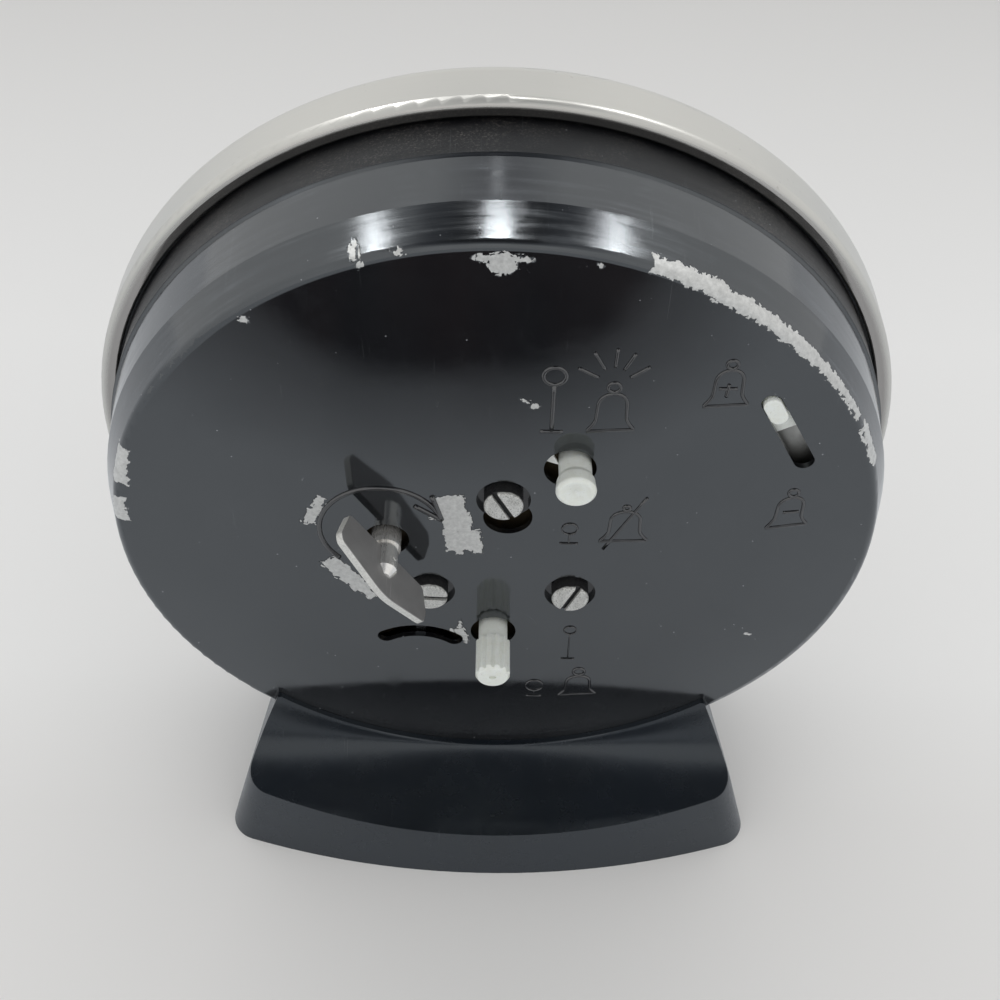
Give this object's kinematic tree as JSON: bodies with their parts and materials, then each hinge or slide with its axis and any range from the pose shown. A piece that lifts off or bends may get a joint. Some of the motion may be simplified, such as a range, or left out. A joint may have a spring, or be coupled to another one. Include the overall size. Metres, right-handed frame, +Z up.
{
  "type": "wind-up alarm clock",
  "caption": "Round wind-up alarm clock on a moulded foot, with a winding key, setting knob, alarm button and loudness slider on its back.",
  "frame": {"origin": "middle of the clock's outline on the surface it stands on", "axes": "+Z up, the dial faces -Y, the back with the key faces +Y, +X is to the right of someone who reads the dial"},
  "size_m": [0.1066, 0.044, 0.1123],
  "materials": {
    "black_lacquer": "glossy black lacquer, scuffed",
    "bright_bezel": "bright plated, with a soft sheen",
    "clear_lens": "clear, polished",
    "pale_plastic": "fine matt",
    "dial_paint": "painted satin white",
    "black_plastic": "satin gloss",
    "steel": "turned steel",
    "plated_steel": "dulled nickel",
    "brass": "satin",
    "zinc_sheet": "dull sheet",
    "pale_knob": "milky, slightly worn",
    "hand_black": "satin black",
    "hand_red": "satin red"
  },
  "bodies": {
    "clock": {"case_shell": "black_lacquer", "bezel": "bright_bezel", "lens": "clear_lens", "reflector_ring": "pale_plastic", "dial": "dial_paint", "dial_holder": "pale_plastic", "holder_posts": "brass", "holder_screws": "steel", "foot": "black_plastic", "foot_screws": "steel", "foot_nuts": "steel", "rear_plate": "brass", "front_plate": "brass", "plate_pillars": "brass", "pillar_nuts": "steel", "screw_posts": "black_lacquer", "back_screws": "plated_steel", "minute_stud": "steel", "bell": "plated_steel", "bell_post": "plated_steel", "volume_bracket": "zinc_sheet", "balance_cock": "brass", "hairspring": "steel"},
    "winding_shaft": {"winding_arbor": "plated_steel", "winding_key": "plated_steel", "key_pin": "steel", "ratchet_wheel": "steel"},
    "bell_drive": {"bell_great_wheel": "brass", "click_spring": "steel"},
    "click": {"click": "steel"},
    "spring_barrel": {"barrel": "brass", "barrel_cover": "brass", "mainspring": "steel"},
    "minute_shaft": {"centre_arbor": "steel", "centre_wheel": "brass", "cannon_pinion": "steel", "minute_hand": "hand_black", "hand_nut": "steel"},
    "minute_wheel": {"minute_wheel": "brass"},
    "hour_tube": {"hour_wheel": "brass", "hour_hand": "hand_black"},
    "third_wheel": {"third_wheel": "brass"},
    "fourth_wheel": {"fourth_wheel": "brass"},
    "escape_wheel": {"escape_wheel": "brass"},
    "pallet_fork": {"pallet_fork": "brass"},
    "balance": {"balance_wheel": "brass"},
    "regulator": {"regulator": "steel"},
    "alarm_disc": {"alarm_wheel": "brass", "alarm_hand": "hand_red"},
    "set_slide": {"detent_clip": "steel"},
    "set_spindle": {"set_stem": "steel", "set_knob": "pale_knob"},
    "alarm_button": {"alarm_stem": "steel", "alarm_knob": "pale_knob"},
    "bell_escape": {"bell_escape_wheel": "brass"},
    "hammer": {"hammer": "steel"},
    "volume_slider": {"volume_slider": "pale_knob"}
  },
  "joints": [
    {"name": "winding", "type": "hinge", "parent": "clock", "child": "winding_shaft", "pos_m": [0.01396, -0.00112, 0.05999], "axis": [0, -1, 0], "continuous": true},
    {"name": "bell_train", "type": "hinge", "parent": "clock", "child": "bell_drive", "pos_m": [0.01396, -0.00112, 0.05999], "axis": [0, 1, 0], "continuous": true},
    {"name": "click_swing", "type": "hinge", "parent": "bell_drive", "child": "click", "pos_m": [0.02076, 0.00267, 0.06319], "axis": [0, -1, 0], "range_deg": [0, 10], "stiffness_Nm_per_rad": 0.0002, "springref_deg": -5.73},
    {"name": "minute", "type": "hinge", "parent": "clock", "child": "minute_shaft", "pos_m": [0, -0.00112, 0.059], "axis": [0, 1, 0], "continuous": true},
    {"name": "barrel_turn", "type": "hinge", "parent": "clock", "child": "spring_barrel", "pos_m": [0.01396, -0.00112, 0.05999], "axis": [0, 1, 0], "continuous": true},
    {"name": "minute_wheel_turn", "type": "hinge", "parent": "clock", "child": "minute_wheel", "pos_m": [-0.00794, -0.01013, 0.05], "axis": [0, 1, 0], "continuous": true},
    {"name": "hour", "type": "hinge", "parent": "clock", "child": "hour_tube", "pos_m": [0, -0.01112, 0.059], "axis": [0, 1, 0], "continuous": true},
    {"name": "third_turn", "type": "hinge", "parent": "clock", "child": "third_wheel", "pos_m": [0.0067, -0.00112, 0.04833], "axis": [0, 1, 0], "continuous": true},
    {"name": "fourth_turn", "type": "hinge", "parent": "clock", "child": "fourth_wheel", "pos_m": [0.01572, -0.00112, 0.0466], "axis": [0, 1, 0], "continuous": true},
    {"name": "escape_turn", "type": "hinge", "parent": "clock", "child": "escape_wheel", "pos_m": [0.02214, -0.00112, 0.04142], "axis": [0, 1, 0], "continuous": true},
    {"name": "balance_swing", "type": "hinge", "parent": "clock", "child": "balance", "pos_m": [0.01041, -0.00112, 0.03284], "axis": [0, 1, 0], "range_deg": [-270, 270], "stiffness_Nm_per_rad": 0.000017},
    {"name": "fork_rock", "type": "hinge", "parent": "clock", "child": "pallet_fork", "pos_m": [0.01819, -0.00112, 0.03853], "axis": [0, 1, 0], "range_deg": [-4, 4]},
    {"name": "regulator_swing", "type": "hinge", "parent": "clock", "child": "regulator", "pos_m": [0.01041, 0.00528, 0.03284], "axis": [0, 1, 0], "range_deg": [-28, 28]},
    {"name": "set_pull", "type": "slide", "parent": "clock", "child": "set_slide", "axis": [0, 1, 0], "range_m": [0, 0.002]},
    {"name": "set_turn", "type": "hinge", "parent": "set_slide", "child": "set_spindle", "pos_m": [0, -0.00112, 0.041], "axis": [0, 1, 0], "continuous": true},
    {"name": "alarm_set", "type": "hinge", "parent": "clock", "child": "alarm_disc", "pos_m": [0, -0.01213, 0.059], "axis": [0, 1, 0], "continuous": true},
    {"name": "alarm_pull", "type": "slide", "parent": "clock", "child": "alarm_button", "axis": [0, 1, 0], "range_m": [0, 0.003]},
    {"name": "bell_escape_turn", "type": "hinge", "parent": "clock", "child": "bell_escape", "pos_m": [0.00563, -0.00112, 0.07022], "axis": [0, 1, 0], "continuous": true},
    {"name": "hammer_swing", "type": "hinge", "parent": "clock", "child": "hammer", "pos_m": [0.00337, -0.00112, 0.07685], "axis": [0, -1, 0], "range_deg": [-5, 2]},
    {"name": "volume_slide", "type": "slide", "parent": "clock", "child": "volume_slider", "axis": [-0.4979, 0, -0.8672], "range_m": [0, 0.0085]}
  ],
  "couplings": [
    {"joint": "hour", "follows": "minute", "ratio": 0.083333},
    {"joint": "minute_wheel_turn", "follows": "minute", "ratio": -0.33333},
    {"joint": "barrel_turn", "follows": "minute", "ratio": -0.16667},
    {"joint": "third_turn", "follows": "minute", "ratio": -8},
    {"joint": "fourth_turn", "follows": "minute", "ratio": 60},
    {"joint": "escape_turn", "follows": "minute", "ratio": -600},
    {"joint": "fork_rock", "follows": "balance_swing", "ratio": 0.014815},
    {"joint": "bell_escape_turn", "follows": "bell_train", "ratio": -7.25},
    {"joint": "alarm_set", "follows": "set_turn", "ratio": -0.2}
  ]
}
